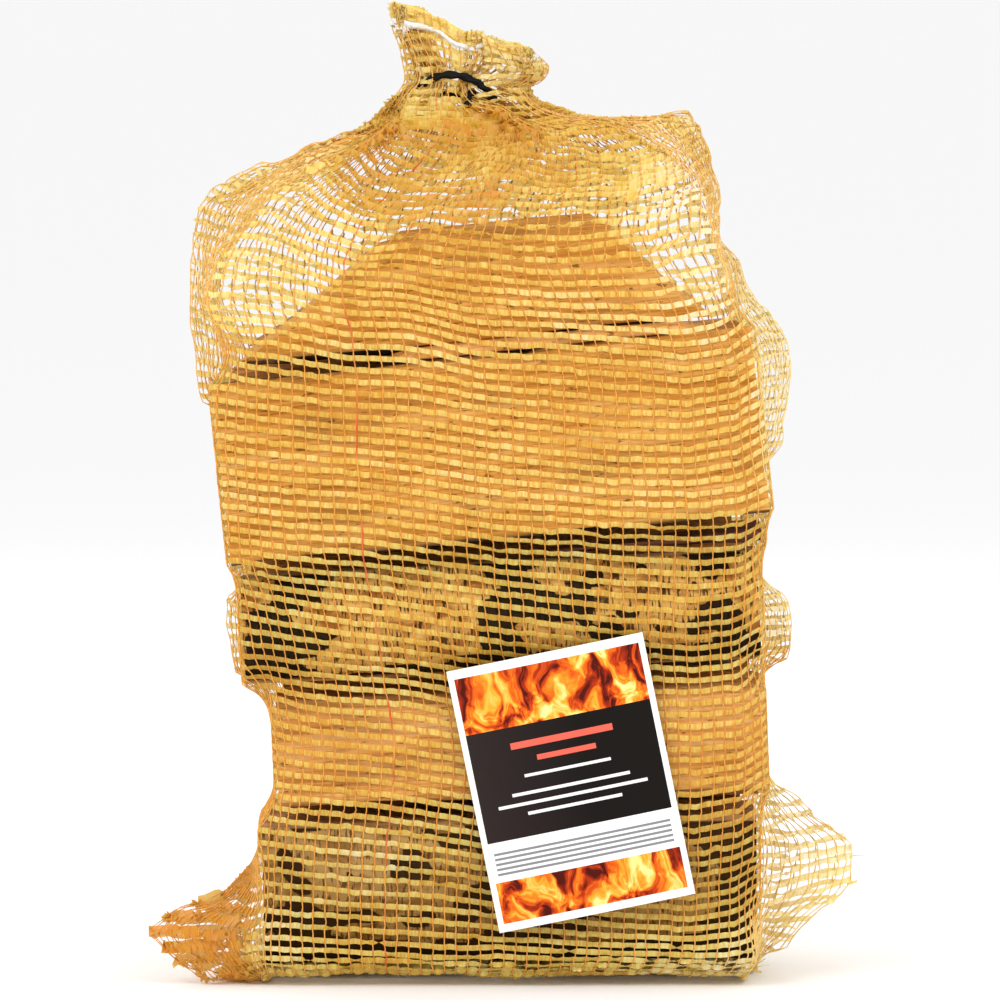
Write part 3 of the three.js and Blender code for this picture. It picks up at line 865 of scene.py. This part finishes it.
class Net:
    """The net's surface with its rows of tape, and where each row lies on it."""

    def __init__(self, logs):
        self.surface, self.loose, self.rows = net_surface(logs)
        self.columns = self.surface.shape[1]

    def loose_at(self, row, column):
        """1 where the net hangs free of the load, and 0 where it is tight on it."""
        return sampled(self.loose[..., None], 2 * row, column)[..., 0]

    def sag(self, column):
        """How far a row dips below level, in rows, on its way round."""
        share = column / self.columns
        front = np.interp(share, [0, 0.11, 0.19, 0.25, 0.31, 0.345, 0.37, 0.39, 0.42, 0.5],
                          [3.0, 2.6, 1.1, -0.3, -1.5, -1.8, -1.2, 0.3, 1.6, 2.8])
        back = np.interp(share, [0.5, 0.6, 0.75, 0.88, 1], [2.8, 0.6, -0.9, 0.8, 3.0])
        return np.where(share < 0.5, front, back)

    def lift(self, row, column):
        """How far the rows over the top of the load rise towards the ears, in rows."""
        share = column / self.columns
        left = np.maximum(1 - ramp(share, 0.12, 0.2), ramp(share, 0.8, 0.88))
        right = hump(share, 0.31, 0.39, 0.61, 0.69)
        return 5 * left * hump(row, 70, 84, 92, 105) + 4 * right * hump(row, 77, 88, 94, 105)

    def at(self, row, column):
        """The place, and the ways across, up and out of the net, at a row of tape and a column."""
        place = 2 * row + 2 * self.sag(column % self.columns) * hump(row, 10, 30, 68, 86)
        place = place + 2 * self.lift(row, column % self.columns)
        turn = 2 * math.pi * column / self.columns
        ring = joined(4 * np.cos(turn), 4 * np.sin(turn), row / 8)
        place += (0.5 + 1.1 * ramp(row, 58, 78)) * noise(ring, 51) * ramp(row, 2, 8)
        here = sampled(self.surface, place, column)
        ahead = sampled(self.surface, place, column + 0.5)
        across = unit(ahead - sampled(self.surface, place, column - 0.5))
        up = sampled(self.surface, place + 0.5, column) - sampled(self.surface, place - 0.5, column)
        out = unit(np.cross(across, up))
        return here, across, np.cross(out, across), out


def left_bottom_corner(x, z):
    """1 at the left bottom corner of the net, and 0 away from it."""
    return ramp(-x, 118, 130) * (1 - ramp(z, 60, 80))


def side_flap(x, z):
    """1 where the net bulges out high up at the right, and 0 away from there."""
    return ramp(x, 122, 134) * ramp(z, 225, 270)


def sheen(net, row, column):
    """How much lighter the tape's colour is painted, as a painted sheen and highlight: pale where it hangs
    free at the sides and at the mouth, where it is stretched at the right front and on the right flap, less
    so over the gathered top, and darker and more orange at the left bottom corner."""
    x, y, z = np.moveaxis(sampled(net.surface, 2 * row, column), -1, 0)
    sides = ramp(np.abs(x - NECK_X), 55, 105)
    stretched = ramp(-y, 40, 80) * ramp(x, 50, 105) * ramp(z, 235, 290)
    gathered_top = hump(z, 365, 395, 432, 446) * (1 - sides)
    # painted highlight where the net hangs free; the left bottom corner is painted darker and more orange
    free = 0.42 * sides + 0.4 * ramp(x, 105, 125) + 0.4 * ramp(z, 436, 456)
    free = free - 1.1 * left_bottom_corner(x, z) - 0.32 * gathered_top
    free = free * np.minimum(1.8 * net.loose_at(row, column), 1)
    # painted highlight on the stretched tape at the right front and on the right flap
    return free + 0.26 * stretched + 0.4 * side_flap(x, z)


def folds(net, row, column):
    """The creases that run out from the neck over the top of the bag: 1 where the net is bunched, -1 where
    it is open, and 0 lower down."""
    z = sampled(net.surface, 2 * row, column)[..., 2]
    crease = grain_noise(row, column + 3 * grain_noise(row, column, 20, 30, 26), 26, 7, 25)
    return np.clip(1.6 * crease, -1, 1) * hump(z, 372, 400, 438, 450)


def make_tapes(net, finish):
    """The flat tapes, in a front and a back piece. A tape is pinched at each chain and turned a little
    between two chains."""
    draw = np.random.default_rng(21)
    cells = CHAINS
    places = np.concatenate([np.arange(net.rows) + 0.5, net.rows - HEM_ROWS])
    rows = len(places)
    turn = draw.normal(0, 1, (rows, cells))
    cell_at, row_at = np.meshgrid(np.arange(cells) * 1.0, np.arange(rows) * 1.0)
    # Painted highlights: patches of lighter tape, a tone of its own for each mesh, the painted sheen, and
    # darker tape where the folds are bunched.
    highlight_patch = grain_noise(cell_at, row_at, 9, 5, 22) + 0.7 * grain_noise(cell_at, row_at, 3, 1.2, 23)
    glint = 0.46 + 0.42 * highlight_patch + 0.07 * draw.normal(0, 1, (rows, cells))
    middle = places[:, None] + 0 * cell_at, 2 * cell_at + 1
    glint = np.clip(glint + sheen(net, *middle) - 0.34 * folds(net, *middle), -0.5, 1.4)
    bow = draw.normal(0, 1, (rows, cells))
    at = np.arange(cells * TAPE_STEPS + 1)
    cell = (at // TAPE_STEPS) % cells
    within = (at % TAPE_STEPS) / TAPE_STEPS
    swell = np.sin(np.pi * within)
    row = places[:, None] + 0 * at[None]
    column = at[None] * 2 / TAPE_STEPS + 0 * row
    free = net.loose_at(row, column)
    low = free * (1 - ramp(row, 12, 18))
    bunch = (0.32 * free + 0.5 * low) * noise(joined(column / 7, 1.37 * row, 0.5), 24)
    here, _, up, out = net.at(row + bunch + 0.05 * bow[:, cell] * swell, column)
    x, z = here[..., 0], here[..., 2]
    upright = hump(z, 358, 392, 436, 448) * (1 - 0.75 * ramp(np.abs(x - NECK_X), 70, 110))
    angle = np.radians(12 + 36 * free) * turn[:, cell] * swell + np.radians(8 + 34 * upright)
    lean = up * np.cos(angle)[..., None] + out * np.sin(angle)[..., None]
    crowded = 1 + 0.2 * upright + 1.3 * ramp(-x, 118, 132) * (1 - ramp(z, 55, 80))
    crowded = crowded * (1 + 0.42 * folds(net, row, column))
    width = TAPE_WIDTH * crowded * (1 - TAPE_PINCH * (1 - swell))
    points = []
    for edge in (-1, 0, 1):
        bulge = 0.35 + (0.45 * swell if edge == 0 else 0)
        rise = out * np.broadcast_to(bulge, at.shape)[None, :, None]
        points.append(here + lean * (edge * width / 2)[..., None] + rise)
    points = np.stack(points, axis=2)
    points[..., 2] = np.maximum(points[..., 2], LOWEST_TAPE)
    shine = np.broadcast_to(glint[:, cell][..., None], points.shape[:3])
    edge_at = np.array([-1, 0, 1]) * TAPE_WIDTH / 2
    weave = joined(column[..., None] * 2.9, edge_at, row[..., None] * 7.3)
    made = []
    half = HALF_CELLS * TAPE_STEPS
    for name, some in (("front", slice(0, half + 1)), ("back", slice(half, 2 * half + 1))):
        part = points[:, some]
        faces = strip_faces(rows, part.shape[1], 3)
        facts = {"glint": shine[:, some].reshape(-1), "weave": weave[:, some].reshape(-1, 3)}
        made.append(mesh_piece("net_tapes_" + name, part.reshape(-1, 3), faces, finish, facts))
    return made


def make_chains(net, thread, marker):
    """The chains of stitches, in a front and a back piece, and the one marker chain in red."""
    first = 2 * SIDE_CELLS
    front_x = net.surface[len(net.surface) // 2, first : first + 2 * FACE_CELLS, 0]
    marked = SIDE_CELLS + int(np.abs(front_x[::2] - MARKER_X).argmin())
    groups = {
        "net_chains_front": [c for c in range(HALF_CELLS) if c != marked],
        "net_chains_back": list(range(HALF_CELLS, CHAINS)),
        "net_marker_chain": [marked],
    }
    draw = np.random.default_rng(32)
    for name, chains in groups.items():
        at = np.arange(CHAIN_STEPS * net.rows + 1) / CHAIN_STEPS
        row = at[None] + 0 * np.array(chains)[:, None]
        column = 2.0 * np.array(chains)[:, None] + 0 * row
        here, across, _, out = net.at(row, column)
        stray = draw.normal(0, 0.28, (len(chains), net.rows + 1))
        stray = np.stack([np.interp(at, np.arange(net.rows + 1), line) for line in stray])
        wobble = 0.15 * np.sin(2 * np.pi * (at + 0.3)) + stray
        here = here + across * wobble[..., None] + out * 0.75
        knot = 0.5 + 0.5 * np.cos(2 * np.pi * (at - 0.5))
        radius = CHAIN_RADIUS * (0.75 + 0.5 * knot)
        ring = []
        for k in range(3):
            angle = 2 * np.pi * k / 3 + np.pi / 2
            way = across * math.cos(angle) * 1.25 + out * math.sin(angle)
            ring.append(here + way * radius[None, :, None])
        points = np.stack(ring, axis=2)
        x, z = here[..., 0], here[..., 2]
        # Painted highlight: the thread is lightened where the tapes get their painted sheen and towards the
        # mouth, but not at the left bottom corner.
        pale = 0.3 * ramp(np.abs(x - NECK_X), 60, 105) + 0.6 * ramp(x, 105, 125)
        pale = pale * net.loose_at(row, column) * (1 - left_bottom_corner(x, z)) + 0.6 * side_flap(x, z)
        pale = np.maximum(pale, 0.3 * ramp(z, 420, 445))
        faces = strip_faces(len(chains), len(at), 3, closed=True)
        finish = marker if name == "net_marker_chain" else thread
        facts = {"pale": np.repeat(np.minimum(pale, 1).reshape(-1), 3)}
        mesh_piece(name, points.reshape(-1, 3), faces, finish, facts)


def make_frays(net, finish):
    """Loose ends of tape at the bottom corners, where the net is worn."""
    draw = np.random.default_rng(41)
    points, faces, glint, weave = [], [], [], []
    corners = ((0, (4, 17), -1, 22, 3), (net.columns / 2, (8, 24), 1, 16, 3), (0, (2, 13), -1, 130, 17))
    for column, rows, way, count, spread in corners:
        for _ in range(count):
            place = np.array([draw.uniform(*rows)]), np.array([column + draw.uniform(-spread, spread)])
            here = net.at(*place)[0]
            length = draw.uniform(3, 9) * (1 if spread == 3 else 1.3)
            heading = unit(np.array([way, draw.normal(0, 0.5), draw.normal(-0.1, 0.4)]))
            bend = draw.normal(0, 0.35, 3)
            share = np.linspace(0, 1, 7)[:, None]
            line = here[0] + (heading + bend * share) * length * share
            line[:, 2] = np.maximum(line[:, 2], LOWEST_FRAY)
            side = unit(np.cross(heading, draw.normal(0, 1, 3))) * draw.uniform(0.6, 1.5)
            side = side * (1 - 0.6 * share)
            start = sum(len(some) for some in points)
            points.append(np.stack([line - side, line + side], axis=1).reshape(-1, 3))
            faces += grid_faces(7, 2, start)
            # painted highlight: each loose end gets its own lightness, painted darker at the left corner
            glint.append(np.full(14, draw.uniform(0.3, 0.8) - (0.7 if way < 0 else 0)))
            weave.append(points[-1] * 0.8)
    facts = {"glint": np.concatenate(glint), "weave": np.concatenate(weave)}
    mesh_piece("net_loose_ends", np.concatenate(points), faces, finish, facts)


# ---- Strings and card ----


def tube(name, path, radius, finish, sides=10):
    """A round string through the points of a path, with a twist in its surface."""
    path = np.array(path, float)
    along = unit(np.gradient(path, axis=0))
    side = unit(np.cross(along, (0, 0, 1)))
    other = np.cross(side, along)
    rings = []
    for k in range(sides):
        angle = 2 * math.pi * k / sides + np.arange(len(path)) * 0.25
        bumpy = radius * (1 + 0.2 * np.cos(2 * 2 * math.pi * k / sides))
        rings.append(path + bumpy * (np.cos(angle)[:, None] * side + np.sin(angle)[:, None] * other))
    points = np.stack(rings, axis=1)
    faces = grid_faces(len(path), sides, closed=True)
    faces += [list(range(sides)), list(range((len(path) - 1) * sides, len(path) * sides))[::-1]]
    return mesh_piece(name, points.reshape(-1, 3), faces, finish)


def smooth_path(points, count):
    """A smooth line through given points."""
    points = np.array(points, float)
    for _ in range(4):
        inner = np.empty((2 * len(points) - 2, 3))
        inner[0::2] = 0.75 * points[:-1] + 0.25 * points[1:]
        inner[1::2] = 0.25 * points[:-1] + 0.75 * points[1:]
        points = np.concatenate([points[:1], inner, points[-1:]])
    return resampled(points, count)


def card_finish():
    """A glossy printed card: bands of flame, a dark panel with plain bars, and a striped strip."""
    f = Finish("card_print")
    place = f.fact("print", "vector")
    x = f.fact("print", "X")
    y = f.fact("print", "Y")

    def inside(left, right, low, high):
        return (x > left) * (1 - (x > right)) * (y > low) * (1 - (y > high))

    drift = f.node("TexNoise", None, {"Vector": place, "Scale": 3.5, "Detail": 3}, out="Color")
    warp = f.node("VectorMath", {"operation": "ADD"}, {
        0: f.stretched(place, (4.5, 3.0, 1)),
        1: f.stretched(drift, (1.6, 1.6, 0)),
    })
    facts = {"Vector": warp, "Scale": 1.7, "Detail": 5, "Roughness": 0.6, "Distortion": 0.9}
    tongue = f.node("TexNoise", None, facts)
    flame = f.colours(tongue, [
        (0.38, (0.07, 0.004, 0.001)), (0.45, (0.42, 0.03, 0.003)), (0.52, (0.85, 0.15, 0.008)),
        (0.58, (1.0, 0.38, 0.03)), (0.68, (1.0, 0.80, 0.28)),
    ])
    print_colour = f.mix(inside(0.03, 0.97, 0.03, 0.965), (0.84, 0.83, 0.81), flame)
    panel = f.colours(x, [(0, (0.024, 0.015, 0.014)), (0.6, (0.006, 0.004, 0.003))])
    print_colour = f.mix(inside(0.03, 0.97, 0.335, 0.75), print_colour, panel)
    for left, right, low, high, colour in CARD_BARS:
        print_colour = f.mix(inside(left, right, low, high), print_colour, colour)
    stripe = f.node("Math", {"operation": "SINE"}, {0: y * 330})
    stripe = f.step(stripe, -0.4, 0.4) * inside(0.05, 0.95, 0.2, 0.305)
    strip = f.mix(stripe, (0.88, 0.88, 0.88), (0.22, 0.22, 0.23))
    print_colour = f.mix(inside(0.03, 0.97, 0.185, 0.335), print_colour, strip)
    return f.done(f.principled(Base_Color=print_colour, Roughness=0.45, Specular_IOR_Level=0.1))


CARD_BARS = [  # left, right, low, high as shares of the card, and colour
    (0.24, 0.76, 0.665, 0.69, (0.75, 0.12, 0.08)),
    (0.36, 0.66, 0.61, 0.63, (0.75, 0.12, 0.08)),
    (0.28, 0.72, 0.555, 0.566, (0.8, 0.79, 0.77)),
    (0.2, 0.8, 0.49, 0.502, (0.8, 0.79, 0.77)),
    (0.12, 0.88, 0.452, 0.464, (0.8, 0.79, 0.77)),
    (0.26, 0.74, 0.414, 0.426, (0.8, 0.79, 0.77)),
]


def make_card(finish):
    """A thin card, bowed a little, and more so along its upper edge."""
    across, up = 41, 55
    u, v = np.meshgrid(np.linspace(0, 1, across), np.linspace(0, 1, up))
    x = (u - 0.5) * CARD_WIDTH
    z = (v - 0.5) * CARD_HEIGHT
    bow = -CARD_BOW * (1 - (2 * u - 1) ** 2) - 0.5 * ramp(v, 0.8, 1) * np.sin(math.pi * u)
    front = joined(x, bow - CARD_THICK / 2, z).reshape(-1, 3)
    back = front + (0, CARD_THICK, 0)
    faces = slab_faces(up, across)
    points = np.concatenate([front, back])
    tilt = np.array(Matrix.Rotation(-math.radians(CARD_TILT), 3, "Y"))
    points = points @ tilt.T + CARD_CENTRE
    place = joined(u, v, 0).reshape(-1, 3)
    facts = {"print": np.concatenate([place, place * (0, 0, 0)])}
    card = mesh_piece("label_card_print", points, faces, finish, facts)
    card.data.set_sharp_from_angle(angle=math.radians(40))
    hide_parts("label_card")


def make_tie(finish):
    """The black tie round the neck, which arches at the front, with an end that hangs inside the net."""
    turns = np.linspace(-0.46, 0.56, 40)
    angle = 2 * math.pi * turns
    x = -22 + 19 * np.cos(angle)
    y = 15.3 * np.sin(angle)
    z = TIE_HEIGHT - 5 - 2.5 * np.cos(angle) + 10.5 * np.maximum(0, -np.sin(angle)) ** 1.5
    tie = tube("neck_tie_band", smooth_path(joined(x, y, z), 170), TIE_RADIUS, finish)
    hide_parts("neck_tie")
    end = [(-14, -9, 448), (-17, -15, 440), (-18, -17, 434), (-13, -20, 427), (-16, -21, 421)]
    tube("neck_tie_end", smooth_path(end, 50), TIE_RADIUS, finish)


def make_drawstring(net, finish):
    """The flat white string that runs in the hem round the mouth."""
    steps = 260
    column = np.linspace(0.35, 1.3, steps) * net.columns
    row = net.rows - 1.8 + 0.25 * np.sin(column * 0.09)
    here, _, up, out = net.at(row, column)
    weave = np.sin(column * 0.5)
    middle = here + out * (1.0 + 0.5 * weave)[:, None]
    corners = ((-STRING_HALF, 0), (STRING_HALF, 0), (STRING_HALF, STRING_THICK), (-STRING_HALF, STRING_THICK))
    points = np.stack([middle + up * side + out * rise for side, rise in corners], axis=1)
    faces = grid_faces(steps, 4, closed=True) + [[3, 2, 1, 0], [4 * steps - 4 + k for k in range(4)]]
    string = mesh_piece("drawstring_band", points.reshape(-1, 3), faces, finish)
    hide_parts("drawstring")


def plain_finish(name, colour, roughness):
    f = Finish(name)
    speck = f.cloud(f.node("TexCoord", None, None, out="Object"), 700, 3)
    tone = f.mix(f.step(speck, 0.3, 0.7), tuple(0.75 * c for c in colour), colour)
    normal = f.bump(speck, 0.3, 0.0004)
    shader = f.principled(Base_Color=tone, Roughness=roughness, Specular_IOR_Level=0.15, Normal=normal)
    return f.done(shader)


# ---- Stage ----


LAMPS = [  # place and size in metres, and power
    ((-1.3, -1.9, 1.7), 1.2, 26),
    ((1.5, -1.6, 1.2), 1.2, 15),
    ((0, 1.6, 2.0), 1.5, 12),
]


def make_stage():
    """A pale floor, a white surround and soft lamps."""
    floor = bpy.data.meshes.new("floor")
    reach = 90
    corners = [(-reach, -reach, 0), (reach, -reach, 0), (reach, reach, 0), (-reach, reach, 0)]
    floor.from_pydata(corners, [], [[0, 1, 2, 3]])
    f = Finish("floor_paint")
    floor.materials.append(f.done(f.principled(Base_Color=(0.93, 0.93, 0.93, 1), Roughness=0.9)))
    ground = bpy.data.objects.new("floor", floor)
    bpy.context.scene.collection.objects.link(ground)
    world = bpy.data.worlds.new("surround")
    world.use_nodes = True
    world.node_tree.nodes["Background"].inputs[0].default_value = (1, 1, 1, 1)
    world.node_tree.nodes["Background"].inputs[1].default_value = 1
    bpy.context.scene.world = world
    bpy.context.scene.view_settings.view_transform = "Standard"
    for place, size, power in LAMPS:
        lamp = bpy.data.lights.new("lamp", "AREA")
        lamp.size = size
        lamp.energy = power
        holder = bpy.data.objects.new("lamp", lamp)
        holder.location = place
        aim = Vector((0, 0, 0.25)) - Vector(place)
        holder.rotation_euler = aim.to_track_quat("-Z", "Y").to_euler()
        bpy.context.scene.collection.objects.link(holder)


def make_camera():
    """The view from straight in front and a little above."""
    raised = math.radians(3.5)
    distance = 4.6
    target = Vector((0, -0.1, 0.2455))
    camera = bpy.data.cameras.new("camera")
    camera.lens = 36 * distance / 0.5
    holder = bpy.data.objects.new("camera", camera)
    holder.location = target + distance * Vector((0, -math.cos(raised), math.sin(raised)))
    holder.rotation_euler = (target - holder.location).to_track_quat("-Z", "Y").to_euler()
    bpy.context.scene.collection.objects.link(holder)
    bpy.context.scene.camera = holder


def make_bundle():
    logs = [Log(*row) for row in LOGS]
    finishes = {kind: wood_finish(kind) for kind in SPLIT_COLOURS}
    for number, log in enumerate(logs):
        make_log(log, 100 + 10 * number, finishes[log.kind])
    for number, flake in enumerate(FLAKES):
        make_flake(*flake, finishes[flake[5]], 300 + number)
    net = Net(logs)
    tape = tape_finish()
    tapes = make_tapes(net, tape)
    make_frays(net, tape)
    make_chains(
        net,
        thread_finish("chain_thread", (0.60, 0.22, 0.02), (0.82, 0.40, 0.05), 900),
        thread_finish("marker_thread", (0.70, 0.08, 0.02), (0.82, 0.42, 0.06), 110),
    )
    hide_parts("net_bag")
    chains = [o for o in bpy.data.objects if o.name.startswith(("net_chains", "net_marker", "net_loose"))]
    for number, piece in enumerate(tapes):
        going = [o for o in chains if o.name.endswith("back") == bool(number)]
    make_card(card_finish())
    make_tie(plain_finish("tie_black", (0.004, 0.004, 0.005), 0.6))
    make_drawstring(net, plain_finish("string_white", (0.86, 0.84, 0.80), 0.7))


make_stage()
make_camera()
make_bundle()
